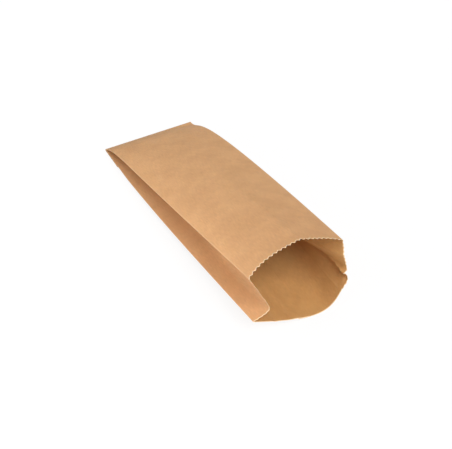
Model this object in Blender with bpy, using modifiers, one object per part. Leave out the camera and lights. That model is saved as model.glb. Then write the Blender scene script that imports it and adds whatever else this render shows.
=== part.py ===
# Brown kraft paper bag with side gussets and a turned-under bottom, lying on its back with its mouth open.
# It is one sheet: lapped to a tube, creased along six lengthwise folds, turned under at its bottom end
# and cut to small teeth at its mouth, straight across the back. The mouth faces -Y, and the origin is under
# the middle of the bag.
import bmesh
import bpy
import math

# Folded size of the bag, in metres
panel_width = 0.095
gusset_depth = 0.057
body_length = 0.286
flap_length = 0.029
seam_lap = 0.012
seam_inset = 0.036
paper_thickness = 0.00012
ply_clearance = 0.0001
tooth_pitch = 0.0043
front_tooth_depth = 0.0018
gusset_tooth_depth = 0.0009

# Front panel, on top: how its two side folds rise from the bottom fold to the mouth, its crown between them
# and the soft ridge that stands on the crown at the mouth
front_left_rise = 0.0645
front_left_power = 0.852
front_left_lead = 0.0024
front_left_lead_power = 1.0
front_left_hump = 0.0041
front_left_hump_place = 0.0315
front_right_rise = 0.0658
front_right_power = 0.60
front_right_lead = 0.0165
front_right_lead_power = 1.68
front_crown = 0.397
front_crown_power = 0.60
front_crown_place = 0.344
front_crown_tightness = 0.586
front_ridge = 0.045
front_ridge_power = 1.6
front_ridge_place = 0.555
front_ridge_width = 0.163
front_drift = 0.0036

# Back panel, on the floor: its belly rests and its side folds curl up
back_tilt = 0.0061
back_belly = 0.332
back_belly_power = 1.223
back_belly_place = 0.865
back_belly_tightness = 1.63
back_drift = 0.0024
settle_length = 0.025
drift_power = 1.5

# Gussets: how far each middle crease has swung out at the mouth, in degrees, and slid down, in metres
left_swing = 48.7
right_swing = 117
left_swing_power = 1.99
right_swing_power = 3.44
left_slide = 0.0043
right_slide = 0.0025
slide_power = 2.0
upper_place = 0.5
upper_tightness = 1.0
left_lower_place = 0.34
left_lower_tightness = 2.6
right_lower_place = 0.354
right_lower_tightness = 2.04

# Dent in the lower half of the right gusset: it starts on the middle crease and runs down to the mouth
dent_depth = 0.0056
dent_place = 0.281
dent_width = 0.122
dent_start = 0.8

# Fineness of the mesh
body_rows = 18
fold_rows = 3
row_spread = 1.5
curve_steps = 40
solve_steps = 32
joggle_pitches = 5

half_gusset = gusset_depth / 2
ply_pitch = paper_thickness + ply_clearance

# Heights of the plies over the axis of the bottom fold, counted in ply pitches
lap_level = 0.5
back_level = 1.5
lower_gusset_level = 2.5
upper_gusset_level = 3.5
front_level = 4.5

kraft_colour = (0.60, 0.34, 0.165, 1.0)
kraft_roughness = 0.85


def clear_scene():
    for thing in list(bpy.data.objects):
        bpy.data.objects.remove(thing, do_unlink=True)


def smooth_step(value):
    value = min(max(value, 0.0), 1.0)
    return value * value * (3 - 2 * value)


def polyline_length(points):
    return sum(math.dist(points[k], points[k + 1]) for k in range(len(points) - 1))


def conic(start, control, end, tightness):
    # A curve from start to end that leans towards the control point: tight ones have a sharper shoulder
    points = []
    for step in range(curve_steps + 1):
        t = step / curve_steps
        weights = ((1 - t) ** 2, 2 * t * (1 - t) * tightness, t * t)
        total = sum(weights)
        x = (weights[0] * start[0] + weights[1] * control[0] + weights[2] * end[0]) / total
        z = (weights[0] * start[1] + weights[1] * control[1] + weights[2] * end[1]) / total
        points.append((x, z))
    return points


def along(points, share):
    # The point that lies this share of the way along a polyline
    target = share * polyline_length(points)
    for k in range(len(points) - 1):
        step = math.dist(points[k], points[k + 1])
        if target <= step or k == len(points) - 2:
            blend = target / step
            x = points[k][0] + (points[k + 1][0] - points[k][0]) * blend
            z = points[k][1] + (points[k + 1][1] - points[k][1]) * blend
            return (x, z)
        target -= step


def bump(share, place, width):
    # A sharp bump that is gone at both ends of a curve
    start = math.exp(-place / width)
    end = math.exp(-(1 - place) / width)
    return math.exp(-abs(share - place) / width) - start * (1 - share) - end * share


def dented(points, depth, place):
    # Pushes a polyline in towards the bag by a small sharp dent
    last = len(points) - 1
    return [(x - depth * bump(k / last, place, dent_width), z) for k, (x, z) in enumerate(points)]


def panel_curve(unit, left_over_right):
    # A panel of full width whose chord shortens as it bulges, turned so that its left end is higher or lower
    chord = panel_width / polyline_length(unit)
    angle = -math.asin(left_over_right / chord)
    points = []
    for x, z in unit:
        x = (x - 0.5) * chord
        z = z * chord
        points.append((x * math.cos(angle) - z * math.sin(angle), x * math.sin(angle) + z * math.cos(angle)))
    return points


def shifted(points, dx, dz):
    return [(x + dx, z + dz) for x, z in points]


def half_gusset_curve(start, end, side, place, tightness, dent=0.0, dent_at=0.0):
    # One half of a gusset: bent just enough, to the given side, that its length stays half_gusset
    chord = math.dist(start, end)
    across = ((end[0] - start[0]) / chord, (end[1] - start[1]) / chord)
    normal = (-across[1] * side, across[0] * side)
    low = 0.0
    high = 2 * half_gusset
    for _ in range(solve_steps):
        height = (low + high) / 2
        control = (start[0] + across[0] * chord * place + normal[0] * height,
                   start[1] + across[1] * chord * place + normal[1] * height)
        points = dented(conic(start, control, end, tightness), dent, dent_at)
        if polyline_length(points) > half_gusset:
            high = height
        else:
            low = height
    return points


def rise(distance, height, power, lead, lead_power):
    # A side fold's height: it leaves the flat bottom softly over the lead and then climbs to the mouth
    lifted = (distance / lead) ** lead_power
    return height * (distance / body_length) ** power * lifted / (1 + lifted)


def left_hump(distance):
    place = distance / front_left_hump_place
    lifted = (distance / front_left_lead) ** front_left_lead_power
    return front_left_hump * place * math.exp(1 - place) * lifted / (1 + lifted)


def middle_crease(upper, lower, inward, swing, slide):
    # The gusset's crease: straight in between the two folds when flat, swung out about them as the bag opens
    span = math.dist(upper, lower)
    down = ((lower[0] - upper[0]) / span, (lower[1] - upper[1]) / span)
    into = (-down[1] * inward, down[0] * inward)
    reach = math.sqrt(max(half_gusset ** 2 - (span / 2) ** 2, 0.0)) * math.cos(math.radians(swing))
    return ((upper[0] + lower[0]) / 2 + into[0] * reach + down[0] * slide,
            (upper[1] + lower[1]) / 2 + into[1] * reach + down[1] * slide)


def belly_height(distance):
    # Height of the back panel's lowest line: on the flap near the bottom fold, then down on its own seam
    on_flap = back_level * ply_pitch
    on_floor = (back_level - lap_level - front_level) * ply_pitch
    down = smooth_step((distance - flap_length - ply_pitch) / settle_length)
    return on_flap + (on_floor - on_flap) * down


def section(distance):
    # The bag's section this far from the bottom fold, as a curve for each panel
    share = distance / body_length
    open_share = max(distance - flap_length, 0.0) / (body_length - flap_length)
    left_height = rise(distance, front_left_rise, front_left_power, front_left_lead, front_left_lead_power)
    left_height += left_hump(distance)
    right_height = rise(
        distance, front_right_rise, front_right_power, front_right_lead, front_right_lead_power
    )

    crown = front_crown * share ** front_crown_power
    ridge = front_ridge * share ** front_ridge_power
    unit = conic((0, 0), (front_crown_place, crown), (1, 0), front_crown_tightness)
    unit = [(x, z + ridge * bump(x, front_ridge_place, front_ridge_width)) for x, z in unit]
    front = panel_curve(unit, left_height - right_height)
    front = shifted(front, front_drift * share ** drift_power, 0)
    front = shifted(front, 0, front_level * ply_pitch + left_height - front[0][1])

    belly = back_belly * open_share ** back_belly_power
    unit = conic((0, 0), (back_belly_place, -belly), (1, 0), back_belly_tightness)
    back = panel_curve(unit, back_tilt * open_share)
    back = shifted(back, back_drift * share ** drift_power, 0)
    back = shifted(back, 0, belly_height(distance) - min(z for x, z in back))

    curves = {"front": front, "back": back}
    grown = smooth_step((share - dent_start) / (1 - dent_start))
    sides = (("left", 0, 1, left_swing * share ** left_swing_power, left_slide * share ** slide_power),
             ("right", -1, -1, right_swing * share ** right_swing_power, right_slide * share ** slide_power))
    for side, end, inward, swing, slide in sides:
        upper = (front[end][0], front[end][1] - ply_pitch)
        lower = (back[end][0], back[end][1] + ply_pitch)
        crease = middle_crease(upper, lower, inward, swing, slide)
        over = (crease[0], crease[1] + ply_pitch / 2)
        under = (crease[0], crease[1] - ply_pitch / 2)
        if side == "left":
            curves["left_upper"] = half_gusset_curve(upper, over, 1, upper_place, upper_tightness)
            curves["left_lower"] = half_gusset_curve(under, lower, 1, left_lower_place, left_lower_tightness)
        else:
            curves["right_upper"] = half_gusset_curve(upper, over, -1, upper_place, upper_tightness)
            dent = dent_depth * grown
            curves["right_lower"] = half_gusset_curve(
                under, lower, 1, right_lower_place, right_lower_tightness, dent, dent_place * grown
            )
    return curves


def stretch(name, start, end, level, reverse=False):
    # Columns of one panel, from one share of its width to another, with a whole number of teeth between
    width = panel_width if name in ("front", "back") else half_gusset
    teeth = max(2, round(abs(end - start) * width / tooth_pitch))
    return [(name, start + (end - start) * k / teeth, level) for k in range(teeth + 1)]


def sheet_columns():
    # The sheet's columns in order round the bag, from the seam's inner edge to the end of its lap.
    # Each is a panel's name, a share along that panel's curve and a ply level.
    seam = 1 - seam_inset / panel_width
    lap_end = seam - seam_lap / panel_width
    edge_gap = ply_clearance / panel_width
    joggle = joggle_pitches * ply_pitch / panel_width
    columns = stretch("back", seam, 0, back_level)
    columns += stretch("left_lower", 1, 0, lower_gusset_level)
    columns += stretch("left_upper", 1, 0, upper_gusset_level)
    columns += stretch("front", 0, 1, front_level)
    columns += stretch("right_upper", 0, 1, upper_gusset_level)
    columns += stretch("right_lower", 0, 1, lower_gusset_level)
    columns += stretch("back", 1, seam + joggle, back_level)
    columns += stretch("back", seam + edge_gap, lap_end, lap_level)
    return columns


def column_section(curves, columns):
    points = []
    for name, share, level in columns:
        x, z = along(curves[name], share)
        if level == lap_level:
            z -= ply_pitch
        points.append((x, z))
    return points


def body_stations():
    return [body_length * (k / body_rows) ** row_spread for k in range(1, body_rows + 1)]


def folded_sheet(columns):
    # A row of points for each station: the flap's edge, the bottom fold, then the body out to the mouth
    flat = column_section(section(0.0), columns)
    rows = []
    edge = []
    for x, z in flat:
        edge.append((x, -flap_length, -z))
    rows.append(edge)
    for k in range(fold_rows, -1, -1):
        angle = math.pi * k / fold_rows
        rows.append([(x, z * math.sin(angle), z * math.cos(angle)) for x, z in flat])
    last_section = flat
    last_distance = 0.0
    for distance in body_stations():
        now = column_section(section(distance), columns)
        run = distance - last_distance
        row = []
        for old, before, after in zip(rows[-1], last_section, now):
            sideways = math.dist(before, after)
            forward = math.sqrt(max(run ** 2 - sideways ** 2, 0.0))
            row.append((after[0], old[1] - forward, after[1]))
        rows.append(row)
        last_section = now
        last_distance = distance
    return rows


def blend_points(a, b, share):
    return tuple(p + (q - p) * share for p, q in zip(a, b))


def point_on(rows, column, row):
    # Reads the folded sheet between its columns and rows
    i = min(int(column), len(rows[0]) - 2)
    j = min(int(row), len(rows) - 2)
    low = blend_points(rows[j][i], rows[j][i + 1], column - i)
    high = blend_points(rows[j + 1][i], rows[j + 1][i + 1], column - i)
    return blend_points(low, high, row - j)


def cut_teeth(bm, columns, rows):
    # Splits each mouth edge of a full tooth's width and draws its middle back by the tooth's depth
    last = len(rows) - 1
    stations = body_stations()
    row_length = stations[-1] - stations[-2]
    front_edges = []
    gusset_edges = []
    for edge in bm.edges:
        on_mouth = all(vert.co.y > last - 0.5 for vert in edge.verts)
        column = int(round(min(vert.co.x for vert in edge.verts)))
        same_panel = on_mouth and columns[column][0::2] == columns[column + 1][0::2]
        if same_panel and columns[column][0] == "front":
            front_edges.append(edge)
        elif same_panel and columns[column][0] != "back":
            gusset_edges.append(edge)
    for edges, depth in ((front_edges, front_tooth_depth), (gusset_edges, gusset_tooth_depth)):
        made = bmesh.ops.subdivide_edges(bm, edges=edges, cuts=1)
        for vert in made["geom_inner"]:
            if isinstance(vert, bmesh.types.BMVert):
                vert.co.y -= depth / row_length


def recentre(bm):
    xs = [vert.co.x for vert in bm.verts]
    ys = [vert.co.y for vert in bm.verts]
    zs = [vert.co.z for vert in bm.verts]
    shift = (-(min(xs) + max(xs)) / 2, -(min(ys) + max(ys)) / 2, paper_thickness / 2 - min(zs))
    bmesh.ops.translate(bm, vec=shift, verts=bm.verts)


def make_sheet():
    columns = sheet_columns()
    rows = folded_sheet(columns)
    bm = bmesh.new()
    bmesh.ops.create_grid(bm, x_segments=len(columns) - 1, y_segments=len(rows) - 1, size=0.5)
    for vert in bm.verts:
        vert.co.x = round((vert.co.x + 0.5) * (len(columns) - 1))
        vert.co.y = round((vert.co.y + 0.5) * (len(rows) - 1))
    cut_teeth(bm, columns, rows)
    for vert in bm.verts:
        vert.co = point_on(rows, vert.co.x, vert.co.y)
    recentre(bm)
    mesh = bpy.data.meshes.new("paper_bag")
    bm.to_mesh(mesh)
    bm.free()
    return mesh


def kraft_material():
    material = bpy.data.materials.new("kraft_paper")
    material.use_nodes = True
    shader = material.node_tree.nodes["Principled BSDF"]
    shader.inputs["Base Color"].default_value = kraft_colour
    shader.inputs["Roughness"].default_value = kraft_roughness
    shader.inputs["Metallic"].default_value = 0.0
    return material


def make_bag():
    collection = bpy.data.collections.new("paper_lunch_bag")
    bpy.context.scene.collection.children.link(collection)
    mesh = make_sheet()
    mesh.materials.append(kraft_material())
    bag = bpy.data.objects.new("paper_bag", mesh)
    collection.objects.link(bag)
    wall = bag.modifiers.new("wall", "SOLIDIFY")
    wall.thickness = paper_thickness
    wall.offset = 0.0
    wall.use_even_offset = True
    return bag


clear_scene()
make_bag()
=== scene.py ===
import bmesh
import bpy
import math
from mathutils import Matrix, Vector, noise


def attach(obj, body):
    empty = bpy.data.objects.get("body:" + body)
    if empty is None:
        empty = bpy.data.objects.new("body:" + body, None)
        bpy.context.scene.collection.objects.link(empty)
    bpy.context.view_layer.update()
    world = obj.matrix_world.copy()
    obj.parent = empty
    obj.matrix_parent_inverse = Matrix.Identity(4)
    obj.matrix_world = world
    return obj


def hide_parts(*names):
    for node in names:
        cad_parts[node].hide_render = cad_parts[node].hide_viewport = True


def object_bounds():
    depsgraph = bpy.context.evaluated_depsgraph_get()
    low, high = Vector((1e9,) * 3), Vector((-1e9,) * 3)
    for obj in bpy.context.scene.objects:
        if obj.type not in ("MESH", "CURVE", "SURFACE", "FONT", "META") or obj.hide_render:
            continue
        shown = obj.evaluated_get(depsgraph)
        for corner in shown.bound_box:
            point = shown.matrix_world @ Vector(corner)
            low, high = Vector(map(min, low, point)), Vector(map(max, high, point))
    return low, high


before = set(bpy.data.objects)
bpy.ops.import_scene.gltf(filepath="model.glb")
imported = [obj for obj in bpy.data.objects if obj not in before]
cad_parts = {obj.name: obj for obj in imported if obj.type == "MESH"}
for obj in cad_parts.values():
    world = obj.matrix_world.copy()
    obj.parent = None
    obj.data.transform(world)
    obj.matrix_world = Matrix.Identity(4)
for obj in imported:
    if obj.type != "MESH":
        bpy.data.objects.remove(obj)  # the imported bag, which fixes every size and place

cadLow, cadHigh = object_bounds()

# Folded size of the bag in metres. The bag lies on its back with its mouth towards -Y.
sheet = {
    "panelWidth": 0.095,
    "gussetDepth": 0.057,
    "bodyLength": 0.286,
    "flapLength": 0.029,
    "seamLap": 0.012,
    "seamInset": 0.036,
    "paper": 0.00012,
    "plyGap": 0.0001,
    "toothPitch": 0.0043,
    "frontToothDepth": 0.0020,
    "gussetToothDepth": 0.0006,
    "toothZone": 0.005,
    "columnsPerTooth": 4,
    "fewestTeeth": 2,
    "bodyRows": 112,
    "mouthRows": 5,
    "flapRows": 10,
    "foldRows": 4,
    "rowSpread": 1.25,
    "curveSteps": 40,
    "solveSteps": 26,
    "slidePower": 2.0,
    "driftPower": 1.5,
    "jogglePitches": 5,
}

frontPanel = {
    "leftRise": 0.0645,
    "leftPower": 0.852,
    "leftLead": 0.0024,
    "leftLeadPower": 1.0,
    "leftHump": 0.0041,
    "leftHumpPlace": 0.0315,
    "rightRise": 0.0658,
    "rightPower": 0.60,
    "rightLead": 0.0165,
    "rightLeadPower": 1.68,
    "crown": 0.397,
    "crownPower": 0.60,
    "crownPlace": 0.344,
    "crownTightness": 0.586,
    "ridge": 0.045,
    "ridgePower": 1.6,
    "ridgePlace": 0.555,
    "ridgeWidth": 0.163,
    "drift": 0.0036,
}

backPanel = {
    "tilt": 0.0061,
    "belly": 0.332,
    "bellyPower": 1.223,
    "bellyPlace": 0.865,
    "bellyTightness": 1.63,
    "drift": 0.0024,
    "settle": 0.025,
}

gussets = {
    "leftSwing": 48.7,
    "rightSwing": 117,
    "leftPower": 1.99,
    "rightPower": 3.44,
    "leftSlide": 0.0043,
    "rightSlide": 0.0025,
    "upperPlace": 0.5,
    "upperTightness": 1.0,
    "leftLowerPlace": 0.34,
    "leftLowerTightness": 2.6,
    "rightLowerPlace": 0.354,
    "rightLowerTightness": 2.04,
    "dentDepth": 0.0056,
    "dentPlace": 0.281,
    "dentWidth": 0.122,
    "dentStart": 0.8,
}

pitch = sheet["paper"] + sheet["plyGap"]
halfGusset = sheet["gussetDepth"] / 2
level = {"lap": 0.5, "back": 1.5, "front": 4.5}  # plies over the bottom fold's axis


def easeStep(value):
    value = min(max(value, 0.0), 1.0)
    return value * value * (3 - 2 * value)


def polylineLength(points):
    return sum(math.dist(points[k], points[k + 1]) for k in range(len(points) - 1))


def conic(start, control, end, tightness):
    points = []
    for step in range(sheet["curveSteps"] + 1):
        t = step / sheet["curveSteps"]
        weights = ((1 - t) ** 2, 2 * t * (1 - t) * tightness, t * t)
        total = sum(weights)
        x = (weights[0] * start[0] + weights[1] * control[0] + weights[2] * end[0]) / total
        z = (weights[0] * start[1] + weights[1] * control[1] + weights[2] * end[1]) / total
        points.append((x, z))
    return points


def shifted(points, dx, dz):
    return [(x + dx, z + dz) for x, z in points]


def bump(share, place, width):
    # a soft crease that leaves both ends of a curve where they are
    start = math.exp(-place / width)
    end = math.exp(-(1 - place) / width)
    return math.exp(-abs(share - place) / width) - start * (1 - share) - end * share


def dented(points, depth, place):
    last = len(points) - 1
    width = gussets["dentWidth"]
    return [(x - depth * bump(k / last, place, width), z) for k, (x, z) in enumerate(points)]


def panelCurve(unit, leftOverRight):
    # a full-width panel: its chord shortens as it bulges, and it turns to set one end higher
    chord = sheet["panelWidth"] / polylineLength(unit)
    angle = -math.asin(leftOverRight / chord)
    cos = math.cos(angle)
    sin = math.sin(angle)
    points = []
    for x, z in unit:
        x = (x - 0.5) * chord
        z = z * chord
        points.append((x * cos - z * sin, x * sin + z * cos))
    return points


def halfGussetCurve(start, end, side, place, tightness, dentDepth=0.0, dentPlace=0.0):
    # bent just enough, to the given side, to keep its full length
    chord = math.dist(start, end)
    across = ((end[0] - start[0]) / chord, (end[1] - start[1]) / chord)
    normal = (-across[1] * side, across[0] * side)
    low = 0.0
    high = 2 * halfGusset
    for _ in range(sheet["solveSteps"]):
        height = (low + high) / 2
        control = (start[0] + across[0] * chord * place + normal[0] * height,
                   start[1] + across[1] * chord * place + normal[1] * height)
        points = dented(conic(start, control, end, tightness), dentDepth, dentPlace)
        if polylineLength(points) > halfGusset:
            high = height
        else:
            low = height
    return points


def foldHeight(distance, side):
    # height of one of the front panel's side folds at this distance from the bottom fold
    share = distance / sheet["bodyLength"]
    lead = (distance / frontPanel[side + "Lead"]) ** frontPanel[side + "LeadPower"]
    height = frontPanel[side + "Rise"] * share ** frontPanel[side + "Power"]
    if side == "left":
        place = distance / frontPanel["leftHumpPlace"]
        height += frontPanel["leftHump"] * place * math.exp(1 - place)
    return height * lead / (1 + lead)


def middleCrease(upper, lower, inward, swing, slide):
    span = math.dist(upper, lower)
    down = ((lower[0] - upper[0]) / span, (lower[1] - upper[1]) / span)
    into = (-down[1] * inward, down[0] * inward)
    reach = math.sqrt(max(halfGusset ** 2 - (span / 2) ** 2, 0.0)) * math.cos(math.radians(swing))
    return ((upper[0] + lower[0]) / 2 + into[0] * reach + down[0] * slide,
            (upper[1] + lower[1]) / 2 + into[1] * reach + down[1] * slide)


def bellyHeight(distance):
    # the back panel lies on the turned-under flap first, then comes down on its own seam
    onFlap = level["back"] * pitch
    onFloor = (level["back"] - level["lap"] - level["front"]) * pitch
    pastFlap = distance - sheet["flapLength"] - pitch
    return onFlap + (onFloor - onFlap) * easeStep(pastFlap / backPanel["settle"])


def bagSection(distance):
    # the bag's section at this distance from the bottom fold, one curve for each panel
    share = distance / sheet["bodyLength"]
    openShare = max(distance - sheet["flapLength"], 0.0) / (sheet["bodyLength"] - sheet["flapLength"])
    leftHeight = foldHeight(distance, "left")
    rightHeight = foldHeight(distance, "right")
    drift = share ** sheet["driftPower"]

    crown = frontPanel["crown"] * share ** frontPanel["crownPower"]
    unit = conic((0, 0), (frontPanel["crownPlace"], crown), (1, 0), frontPanel["crownTightness"])
    ridge = frontPanel["ridge"] * share ** frontPanel["ridgePower"]
    ridgePlace = frontPanel["ridgePlace"]
    ridgeWidth = frontPanel["ridgeWidth"]
    unit = [(x, z + ridge * bump(x, ridgePlace, ridgeWidth)) for x, z in unit]
    front = panelCurve(unit, leftHeight - rightHeight)
    lift = level["front"] * pitch + leftHeight
    front = shifted(front, frontPanel["drift"] * drift, lift - front[0][1])

    belly = backPanel["belly"] * openShare ** backPanel["bellyPower"]
    unit = conic((0, 0), (backPanel["bellyPlace"], -belly), (1, 0), backPanel["bellyTightness"])
    back = panelCurve(unit, backPanel["tilt"] * openShare)
    back = shifted(back, backPanel["drift"] * drift, bellyHeight(distance) - min(z for x, z in back))

    grown = easeStep((share - gussets["dentStart"]) / (1 - gussets["dentStart"]))
    curves = {"front": front, "back": back}
    for side, end, inward in (("left", 0, 1), ("right", -1, -1)):
        upper = (front[end][0], front[end][1] - pitch)
        lower = (back[end][0], back[end][1] + pitch)
        swing = gussets[side + "Swing"] * share ** gussets[side + "Power"]
        slide = gussets[side + "Slide"] * share ** sheet["slidePower"]
        crease = middleCrease(upper, lower, inward, swing, slide)
        over = (crease[0], crease[1] + pitch / 2)
        under = (crease[0], crease[1] - pitch / 2)
        dent = gussets["dentDepth"] * grown if side == "right" else 0.0
        curves[side + "Upper"] = halfGussetCurve(
            upper, over, inward, gussets["upperPlace"], gussets["upperTightness"])
        curves[side + "Lower"] = halfGussetCurve(
            under, lower, 1, gussets[side + "LowerPlace"], gussets[side + "LowerTightness"],
            dent, gussets["dentPlace"] * grown)
    return curves


def flatWidth(name):
    # width on the flat sheet of a whole panel or of half a gusset
    return sheet["panelWidth"] if name in ("front", "back") else halfGusset


def stretch(name, start, end, ply):
    # columns of one panel, a whole number of teeth wide, where tooth is 0 at a tip and 1 between tips
    per = sheet["columnsPerTooth"]
    teeth = max(sheet["fewestTeeth"], round(abs(end - start) * flatWidth(name) / sheet["toothPitch"]))
    count = teeth * per
    columns = []
    for k in range(count + 1):
        tooth = abs((k / per + 0.5) % 1 - 0.5) * 2
        columns.append({"panel": name, "share": start + (end - start) * k / count, "ply": ply,
                        "tooth": tooth, "end": k in (0, count)})
    return columns


def sheetColumns():
    # round the bag, from the seam's inner edge to the end of its lap
    seam = 1 - sheet["seamInset"] / sheet["panelWidth"]
    lapEnd = seam - sheet["seamLap"] / sheet["panelWidth"]
    joggle = sheet["jogglePitches"] * pitch / sheet["panelWidth"]
    columns = stretch("back", seam, 0, "back")
    columns += stretch("leftLower", 1, 0, "lower")
    columns += stretch("leftUpper", 1, 0, "upper")
    columns += stretch("front", 0, 1, "front")
    columns += stretch("rightUpper", 0, 1, "upper")
    columns += stretch("rightLower", 0, 1, "lower")
    columns += stretch("back", 1, seam + joggle, "back")
    columns += stretch("back", seam + sheet["plyGap"] / sheet["panelWidth"], lapEnd, "lap")
    return columns


def shareAlong(points):
    # running length of a polyline, as shares of the whole
    total = [0.0]
    for k in range(len(points) - 1):
        total.append(total[-1] + math.dist(points[k], points[k + 1]))
    return [value / total[-1] for value in total]


def columnSection(distance, columns):
    curves = bagSection(distance)
    shares = {name: shareAlong(points) for name, points in curves.items()}
    places = []
    for column in columns:
        points = curves[column["panel"]]
        share = shares[column["panel"]]
        k = min(int(column["share"] * (len(points) - 1)), len(points) - 2)
        while k > 0 and share[k] > column["share"]:
            k -= 1
        while k < len(points) - 2 and share[k + 1] < column["share"]:
            k += 1
        blend = (column["share"] - share[k]) / (share[k + 1] - share[k])
        x = points[k][0] + (points[k + 1][0] - points[k][0]) * blend
        z = points[k][1] + (points[k + 1][1] - points[k][1]) * blend
        places.append((x, z - pitch if column["ply"] == "lap" else z))
    return places


def bodyStations():
    # distances of the body's rows from the bottom fold, closer together at both ends
    zone = sheet["toothZone"]
    long = [(sheet["bodyLength"] - zone) * (k / sheet["bodyRows"]) ** sheet["rowSpread"]
            for k in range(1, sheet["bodyRows"] + 1)]
    return long + [sheet["bodyLength"] - zone * (1 - k / sheet["mouthRows"])
                   for k in range(1, sheet["mouthRows"] + 1)]


def foldedSheet(columns):
    # one row for each station: the flap from its free edge, the bottom fold, then the body to the mouth
    flat = columnSection(0.0, columns)
    rows = []
    along = []
    for k in range(sheet["flapRows"], 0, -1):
        reach = sheet["flapLength"] * k / sheet["flapRows"]
        rows.append([Vector((x, -reach, -z)) for x, z in flat])
        along.append(-reach)
    for k in range(sheet["foldRows"], -1, -1):
        angle = math.pi * k / sheet["foldRows"]
        rows.append([Vector((x, z * math.sin(angle), z * math.cos(angle))) for x, z in flat])
        along.append(0.0)
    last = flat
    lastDistance = 0.0
    for distance in bodyStations():
        now = columnSection(distance, columns)
        run = distance - lastDistance
        row = []
        for old, before, after in zip(rows[-1], last, now):
            forward = math.sqrt(max(run ** 2 - math.dist(before, after) ** 2, 0.0))
            row.append(Vector((after[0], old.y - forward, after[1])))
        rows.append(row)
        along.append(distance)
        last = now
        lastDistance = distance
    return rows, along


def cutTeeth(rows, along, columns):
    # moves the end of each column out at a tip and back between tips, and the rows behind it with it
    zoneStart = sheet["bodyLength"] - sheet["toothZone"]
    first = len(rows) - 1 - sheet["mouthRows"]
    depths = {"front": sheet["frontToothDepth"], "back": 0.0}
    for i, column in enumerate(columns):
        depth = depths.get(column["panel"], sheet["gussetToothDepth"])
        line = [rows[j][i].copy() for j in range(first, len(rows))]
        stretched = 1 + depth * (0.5 - column["tooth"]) / sheet["toothZone"]
        for j in range(first + 1, len(rows)):
            place = (along[j] - zoneStart) * stretched / sheet["toothZone"] * sheet["mouthRows"]
            k = min(int(place), sheet["mouthRows"] - 1)
            rows[j][i] = line[k].lerp(line[k + 1], place - k)


# Soft creases, whose ends are a share of the panel's width and a distance from the bottom fold
creases = [  # up is how far a crease stands out of the bag
    {"panel": "rightUpper", "start": (0.55, 0.286), "stop": (0.80, 0.238), "width": 0.0022, "up": -0.0009},
    {"panel": "rightUpper", "start": (0.30, 0.286), "stop": (0.55, 0.252), "width": 0.0026, "up": 0.0008},
    {"panel": "rightUpper", "start": (0.05, 0.262), "stop": (0.75, 0.250), "width": 0.0020, "up": -0.0006},
    {"panel": "rightLower", "start": (0.65, 0.286), "stop": (0.35, 0.262), "width": 0.0022, "up": 0.0007},
    {"panel": "leftUpper", "start": (1.00, 0.270), "stop": (0.55, 0.284), "width": 0.0018, "up": -0.0005},
    {"panel": "leftUpper", "start": (0.95, 0.255), "stop": (0.35, 0.262), "width": 0.0020, "up": 0.0004},
    {"panel": "leftLower", "start": (0.10, 0.262), "stop": (0.50, 0.278), "width": 0.0018, "up": 0.0005},
    {"panel": "back", "start": (0.40, 0.180), "stop": (0.47, 0.284), "width": 0.0040, "up": -0.0006},
    {"panel": "back", "start": (0.20, 0.220), "stop": (0.24, 0.286), "width": 0.0030, "up": 0.0004},
    {"panel": "front", "start": (0.62, 0.030), "stop": (0.70, 0.085), "width": 0.0060, "up": -0.0004},
    {"panel": "front", "start": (0.86, 0.012), "stop": (0.78, 0.060), "width": 0.0050, "up": 0.0004},
]

paperSurface = {
    "broad": 0.00030,
    "broadSize": 0.034,
    "fine": 0.00007,
    "fineSize": 0.009,
    "edgeFade": 0.004,
    "flapFade": 0.020,
    "creaseReach": 3.0,
}


def acrossSheet(columns):
    # running width across the flat sheet at each column
    widths = [0.0]
    for one, two in zip(columns[:-1], columns[1:]):
        same = one["panel"] == two["panel"] and one["ply"] == two["ply"]
        step = abs(two["share"] - one["share"]) * flatWidth(one["panel"]) if same else pitch
        widths.append(widths[-1] + step)
    return widths


def toSegment(px, py, start, stop):
    dx = stop[0] - start[0]
    dy = stop[1] - start[1]
    t = ((px - start[0]) * dx + (py - start[1]) * dy) / (dx * dx + dy * dy)
    t = min(max(t, 0.0), 1.0)
    return math.hypot(px - start[0] - dx * t, py - start[1] - dy * t)


def paperRelief(column, distance, width):
    # how far the paper stands out of its smooth form here
    across = flatWidth(column["panel"])
    height = 0.0
    for crease in creases:
        if crease["panel"] == column["panel"]:
            start = (crease["start"][0] * across, crease["start"][1])
            stop = (crease["stop"][0] * across, crease["stop"][1])
            away = toSegment(column["share"] * across, distance, start, stop) / crease["width"]
            if away < paperSurface["creaseReach"]:
                height += crease["up"] * math.exp(-away * away)
    for kind, plane in (("broad", 0.0), ("fine", 1.0)):
        place = Vector((width, distance, plane)) / paperSurface[kind + "Size"]
        height += paperSurface[kind] * noise.noise(place)
    fromFold = min(column["share"], 1 - column["share"]) * across
    fromFlap = distance - sheet["flapLength"]
    return (height * easeStep(fromFold / paperSurface["edgeFade"])
            * easeStep(fromFlap / paperSurface["flapFade"]))


def raiseRelief(rows, along, columns, widths):
    last = len(columns) - 1
    smooth = [[place.copy() for place in row] for row in rows]
    for j, row in enumerate(rows):
        if along[j] <= sheet["flapLength"]:
            continue
        for i, column in enumerate(columns):
            if column["ply"] == "lap" or column["end"]:
                continue
            around = smooth[j][min(i + 1, last)] - smooth[j][max(i - 1, 0)]
            towardsMouth = smooth[min(j + 1, len(rows) - 1)][i] - smooth[j - 1][i]
            outward = towardsMouth.cross(around).normalized()
            row[i] += outward * paperRelief(column, along[j], widths[i])


def addObject(name, data):
    thing = bpy.data.objects.new(name, data)
    bpy.context.scene.collection.objects.link(thing)
    return thing


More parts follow.
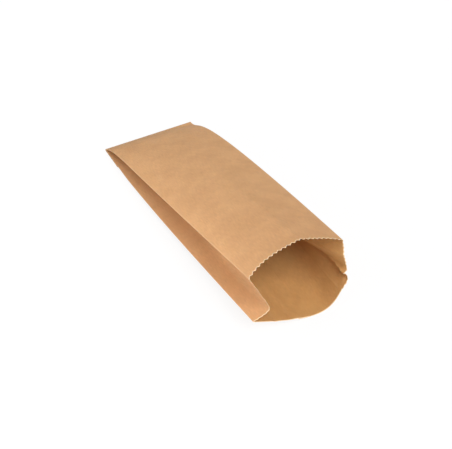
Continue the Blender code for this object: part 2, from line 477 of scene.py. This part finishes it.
def makeBag():
    columns = sheetColumns()
    widths = acrossSheet(columns)
    rows, along = foldedSheet(columns)
    low = Vector([min(place[k] for row in rows for place in row) for k in range(3)])
    high = Vector([max(place[k] for row in rows for place in row) for k in range(3)])
    shift = (cadLow + cadHigh) / 2 - (low + high) / 2
    shift.z = cadLow.z + sheet["paper"] / 2 - low.z
    raiseRelief(rows, along, columns, widths)
    cutTeeth(rows, along, columns)
    print("folded", len(columns), "columns and", len(rows), "rows")

    bm = bmesh.new()
    bmesh.ops.create_grid(bm, x_segments=len(columns) - 1, y_segments=len(rows) - 1, size=0.5)
    foldWearHighlight = bm.verts.layers.float.new("foldWearHighlight")
    edgeWear = bm.verts.layers.float.new("edgeWear")
    flatMap = bm.loops.layers.uv.new("flatSheet")
    places = {}
    for vert in bm.verts:
        column = round((vert.co.x + 0.5) * (len(columns) - 1))
        row = round((vert.co.y + 0.5) * (len(rows) - 1))
        places[vert] = (column, row)
        vert.co = rows[row][column]
        # fold columns get a paler line, partly paper wear and partly a painted highlight along the fold
        vert[foldWearHighlight] = 1.0 if columns[column]["end"] else 0.0
        vert[edgeWear] = 1.0 if row == len(rows) - 1 else 0.0
    for face in bm.faces:
        face.smooth = True
        for loop in face.loops:
            column, row = places[loop.vert]
            loop[flatMap].uv = (widths[column], along[row] + sheet["flapLength"])
    for edge in bm.edges:
        edge.smooth = not all(columns[places[vert][0]]["end"] for vert in edge.verts)

    bmesh.ops.translate(bm, vec=shift, verts=bm.verts)
    mesh = bpy.data.meshes.new("kraftSheet")
    bm.to_mesh(mesh)
    bm.free()
    bag = addObject("kraft_bag", mesh)
    wall = bag.modifiers.new("wall", "SOLIDIFY")
    wall.thickness = sheet["paper"]
    wall.offset = 0.0
    wall.use_even_offset = True
    wall.material_offset = 1
    wall.material_offset_rim = 2
    return bag


# Finishes. Colours are the paper's own except in two places. The paler fold lines are partly wear and
# partly a painted highlight along the folds. The inside paper is darker and more orange, as painted shade
# of light bounced around inside the bag. The sizes of the patterns are in metres.
kraft = {
    "outside": (0.600, 0.335, 0.160, 1),
    # the inside paper is darker and more orange than the outside: painted shade standing in for light
    # bounced around inside the bag
    "insideShaded": (0.565, 0.305, 0.112, 1),
    "edge": (0.850, 0.650, 0.420, 1),
    # pale colour of the fold lines, partly wear and partly painted highlight
    "foldWornHighlight": (0.720, 0.480, 0.280, 1),
    "fleck": (0.330, 0.165, 0.070, 1),
    "streak": 0.10,
    "streakSpan": (0.3, 0.7),
    "cloud": 0.09,
    "cloudHue": (1.0, 1.15, 1.3),
    "cloudSpan": (0.35, 0.65),
    "fleckShow": 0.35,
    "fleckSpan": (0.70, 0.78),
    # how strongly the outside folds are painted pale, as wear and as painted highlight; the inside folds
    # get none
    "foldPaleHighlight": 0.45,
    "edgePale": 0.90,
    "foldWearHighlightSpan": (0.2, 1.0),
    "edgeSpan": (0.1, 0.6),
    "fibreWidth": 0.0007,
    "fibreLength": 0.0060,
    "fibreDetail": 4.0,
    "cloudSize": 0.020,
    "cloudDetail": 3.0,
    "fleckWidth": 0.0008,
    "fleckLength": 0.0016,
    "fleckDetail": 1.0,
    "grain": 0.6,
    "roughness": 0.85,
    "roughnessSpread": 0.06,
    "gloss": 0.25,
    "seeThrough": 0.15,
    "seeThroughReach": 0.0003,
    "seeThroughTint": (1.0, 0.45, 0.16),
    "bump": 0.15,
    "bumpDepth": 0.0001,
}


def addNode(tree, kind, values=None, **settings):
    node = tree.nodes.new("ShaderNode" + kind)
    for name, value in settings.items():
        setattr(node, name, value)
    for name, value in (values or {}).items():
        node.inputs[name].default_value = value
    return node


def mixColour(tree, fac, first, second, blend="MIX"):
    node = addNode(tree, "Mix", data_type="RGBA", blend_type=blend)
    for socket, value in ((node.inputs[0], fac), (node.inputs[6], first), (node.inputs[7], second)):
        if isinstance(value, (tuple, float)):
            socket.default_value = value
        else:
            tree.links.new(value, socket)
    return node.outputs[2]


def mapped(tree, source, span, low, high):
    node = addNode(tree, "MapRange", {"From Min": span[0], "From Max": span[1],
                                      "To Min": low, "To Max": high})
    tree.links.new(source, node.inputs["Value"])
    return node.outputs[0]


def patternOn(tree, coordinates, sizes, detail):
    # soft noise with a size of its own in each direction
    scale = addNode(tree, "Mapping", {"Scale": tuple(1 / size for size in sizes)})
    tree.links.new(coordinates, scale.inputs["Vector"])
    pattern = addNode(tree, "TexNoise", {"Scale": 1.0, "Detail": detail, "Roughness": kraft["grain"]})
    tree.links.new(scale.outputs[0], pattern.inputs["Vector"])
    return pattern.outputs["Fac"]


def toned(colour, factor):
    return tuple(value * factor for value in colour[:3]) + (1,)


def kraftMaterial(name, paper, foldPaleHighlight):
    material = bpy.data.materials.new(name)
    material.use_nodes = True
    tree = material.node_tree
    shader = tree.nodes["Principled BSDF"]
    shader.inputs["Specular IOR Level"].default_value = kraft["gloss"]
    shader.inputs["Subsurface Weight"].default_value = kraft["seeThrough"]
    shader.inputs["Subsurface Scale"].default_value = kraft["seeThroughReach"]
    shader.inputs["Subsurface Radius"].default_value = kraft["seeThroughTint"]

    flat = addNode(tree, "UVMap", uv_map="flatSheet").outputs[0]
    place = addNode(tree, "TexCoord").outputs["Object"]
    streaks = patternOn(tree, flat, (kraft["fibreWidth"], kraft["fibreLength"], 1), kraft["fibreDetail"])
    clouds = patternOn(tree, place, (kraft["cloudSize"],) * 3, kraft["cloudDetail"])
    flecks = patternOn(tree, flat, (kraft["fleckWidth"], kraft["fleckLength"], 1), kraft["fleckDetail"])
    foldWearHighlight = addNode(tree, "Attribute", attribute_name="foldWearHighlight").outputs["Fac"]
    edgeWear = addNode(tree, "Attribute", attribute_name="edgeWear").outputs["Fac"]

    colour = mixColour(tree, mapped(tree, streaks, kraft["streakSpan"], 0, 1),
                       toned(paper, 1 - kraft["streak"]), toned(paper, 1 + kraft["streak"]))
    shade = tuple(1 - kraft["cloud"] * depth for depth in kraft["cloudHue"]) + (1,)
    colour = mixColour(tree, mapped(tree, clouds, kraft["cloudSpan"], 0, 1), colour,
                       mixColour(tree, 1.0, colour, shade, "MULTIPLY"))
    colour = mixColour(tree, mapped(tree, flecks, kraft["fleckSpan"], 0, kraft["fleckShow"]), colour,
                       kraft["fleck"])
    # paler fold lines: partly paper wear, partly a painted highlight on the folds
    colour = mixColour(tree, mapped(tree, foldWearHighlight, kraft["foldWearHighlightSpan"], 0, foldPaleHighlight), colour, kraft["foldWornHighlight"])
    colour = mixColour(tree, mapped(tree, edgeWear, kraft["edgeSpan"], 0, kraft["edgePale"]), colour,
                       kraft["edge"])
    tree.links.new(colour, shader.inputs["Base Color"])
    smoothest = kraft["roughness"] - kraft["roughnessSpread"]
    roughest = kraft["roughness"] + kraft["roughnessSpread"]
    roughness = mapped(tree, streaks, kraft["streakSpan"], smoothest, roughest)
    tree.links.new(roughness, shader.inputs["Roughness"])

    relief = addNode(tree, "Bump", {"Strength": kraft["bump"], "Distance": kraft["bumpDepth"]})
    tree.links.new(streaks, relief.inputs["Height"])
    tree.links.new(relief.outputs[0], shader.inputs["Normal"])
    return material


bag = makeBag()
# the inside copy of the paper carries painted shade: darker and more orange than the outside
bag.data.materials.append(kraftMaterial("kraftInsideShaded", kraft["insideShaded"], 0.0))
bag.data.materials.append(kraftMaterial("kraftOutside", kraft["outside"], kraft["foldPaleHighlight"]))
bag.data.materials.append(kraftMaterial("kraftCutEdge", kraft["edge"], 0.0))
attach(bag, "root")
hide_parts("paper_bag")
print("bag made")

stageSet = {
    "floorSize": 3.0,
    "floorColour": (0.92, 0.92, 0.92, 1),
    "floorWhite": 0.85,
    "floorRoughness": 0.9,
    "floorDrop": 0.00002,
}

camera = {
    "azimuth": -28.33,
    "elevation": 43.0,
    "distance": 0.94168,
    "focalPixels": 1021.5,
    "imageWidth": 452,
    "sensor": 36.0,
    "target": (0.00390, -0.00962, 0.0004),
}


def seenDirectly(tree):
    # 1 for a ray from the camera, by way of a gloss or through something clear too, and 0 for others
    path = addNode(tree, "LightPath")
    seen = path.outputs["Is Camera Ray"]
    for ray in ("Is Glossy Ray", "Is Transmission Ray"):
        either = addNode(tree, "Math", operation="MAXIMUM")
        tree.links.new(seen, either.inputs[0])
        tree.links.new(path.outputs[ray], either.inputs[1])
        seen = either.outputs[0]
    return seen


def makeFloor():
    bm = bmesh.new()
    bmesh.ops.create_grid(bm, x_segments=1, y_segments=1, size=stageSet["floorSize"])
    bmesh.ops.translate(bm, vec=(0, 0, -stageSet["floorDrop"]), verts=bm.verts)
    mesh = bpy.data.meshes.new("floor")
    bm.to_mesh(mesh)
    bm.free()
    floor = addObject("floor", mesh)
    material = bpy.data.materials.new("paleFloor")
    material.use_nodes = True
    tree = material.node_tree
    shader = tree.nodes["Principled BSDF"]
    shader.inputs["Base Color"].default_value = stageSet["floorColour"]
    shader.inputs["Roughness"].default_value = stageSet["floorRoughness"]
    mix = addNode(tree, "MixShader")
    seen = mapped(tree, seenDirectly(tree), (0, 1), 0, stageSet["floorWhite"])
    tree.links.new(seen, mix.inputs["Fac"])
    tree.links.new(shader.outputs[0], mix.inputs[1])
    tree.links.new(addNode(tree, "Emission").outputs[0], mix.inputs[2])
    tree.links.new(mix.outputs[0], tree.nodes["Material Output"].inputs["Surface"])
    mesh.materials.append(material)


def directionTo(azimuth, elevation):
    # unit vector towards a place seen at these angles, counted as the camera's are
    turn = math.radians(azimuth)
    lift = math.radians(elevation)
    return Vector((math.sin(turn) * math.cos(lift), -math.cos(turn) * math.cos(lift), math.sin(lift)))


def makeCamera():
    data = bpy.data.cameras.new("camera")
    data.sensor_width = camera["sensor"]
    data.lens = camera["focalPixels"] * camera["sensor"] / camera["imageWidth"]
    eye = addObject("camera", data)
    back = directionTo(camera["azimuth"], camera["elevation"])
    eye.location = Vector(camera["target"]) + back * camera["distance"]
    eye.rotation_euler = back.to_track_quat("Z", "Y").to_euler()
    bpy.context.scene.camera = eye


light = {
    "world": 0.50,
    "top": 2.53,
    "topAzimuth": 0.0,
    "topElevation": 50.0,
    "topDistance": 1.0,
    "topSoftness": 40.0,
    "front": 0.33,
    "frontAzimuth": -75.0,
    "frontElevation": 24.0,
    "frontDistance": 0.33,
    "frontSize": 0.2,
}


def placeLamp(data, direction, distance):
    lamp = addObject(data.name, data)
    lamp.location = direction * distance
    lamp.rotation_euler = direction.to_track_quat("Z", "Y").to_euler()


def makeLight():
    world = bpy.data.worlds.new("studio")
    world.use_nodes = True
    tree = world.node_tree
    background = tree.nodes["Background"]
    background.inputs["Color"].default_value = (1, 1, 1, 1)
    strength = mapped(tree, seenDirectly(tree), (0, 1), light["world"], 1)
    tree.links.new(strength, background.inputs["Strength"])
    bpy.context.scene.world = world

    data = bpy.data.lights.new("top", "SUN")
    data.energy = light["top"]
    data.angle = math.radians(light["topSoftness"])
    placeLamp(data, directionTo(light["topAzimuth"], light["topElevation"]), light["topDistance"])

    data = bpy.data.lights.new("front", "AREA")
    data.energy = light["front"]
    data.size = light["frontSize"]
    placeLamp(data, directionTo(light["frontAzimuth"], light["frontElevation"]), light["frontDistance"])


makeFloor()
makeCamera()
makeLight()
bpy.context.scene.view_settings.view_transform = "Standard"
print("stage made")
